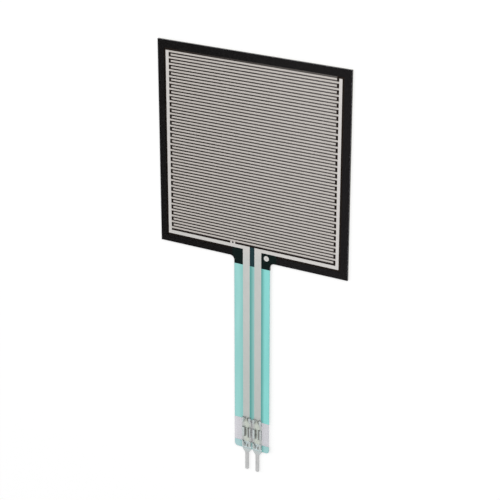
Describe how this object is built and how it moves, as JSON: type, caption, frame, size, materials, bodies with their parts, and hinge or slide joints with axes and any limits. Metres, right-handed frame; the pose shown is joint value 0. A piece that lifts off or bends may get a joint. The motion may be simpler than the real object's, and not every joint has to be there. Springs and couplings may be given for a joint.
{
  "type": "force sensing resistor",
  "caption": "Square film force sensor with a silver comb under clear film, a narrow flat tail and crimped solder tabs at its end.",
  "frame": {"origin": "middle of the square head on the rear face of its release liner, where it lies on the table", "axes": "+Z out of the face that is pressed, +Y from the tail towards the far edge of the head, +X to the right seen from that face"},
  "size_m": [0.0436, 0.0932, 0.0009],
  "materials": {
    "liner_paper": "smooth silicone-coated paper",
    "clear_adhesive": "clear pressure-sensitive acrylic",
    "back_film": "clear film, dark from the print on it",
    "carbon_ink": "matt black carbon print",
    "dielectric_ink": "satin pale teal print",
    "silver_ink": "satin silver print",
    "clear_film": "clear smooth film",
    "tinned_metal": "satin tin plating"
  },
  "bodies": {
    "root": {"release_liner": "liner_paper", "rear_adhesive": "clear_adhesive", "back_film": "back_film", "carbon_layer": "carbon_ink", "spacer_adhesive": "clear_adhesive", "tail_dielectric": "dielectric_ink", "end_dielectric": "dielectric_ink", "left_electrode": "silver_ink", "right_electrode": "silver_ink", "index_dot": "silver_ink", "front_film": "clear_film", "left_solder_tab": "tinned_metal", "right_solder_tab": "tinned_metal"}
  },
  "joints": []
}
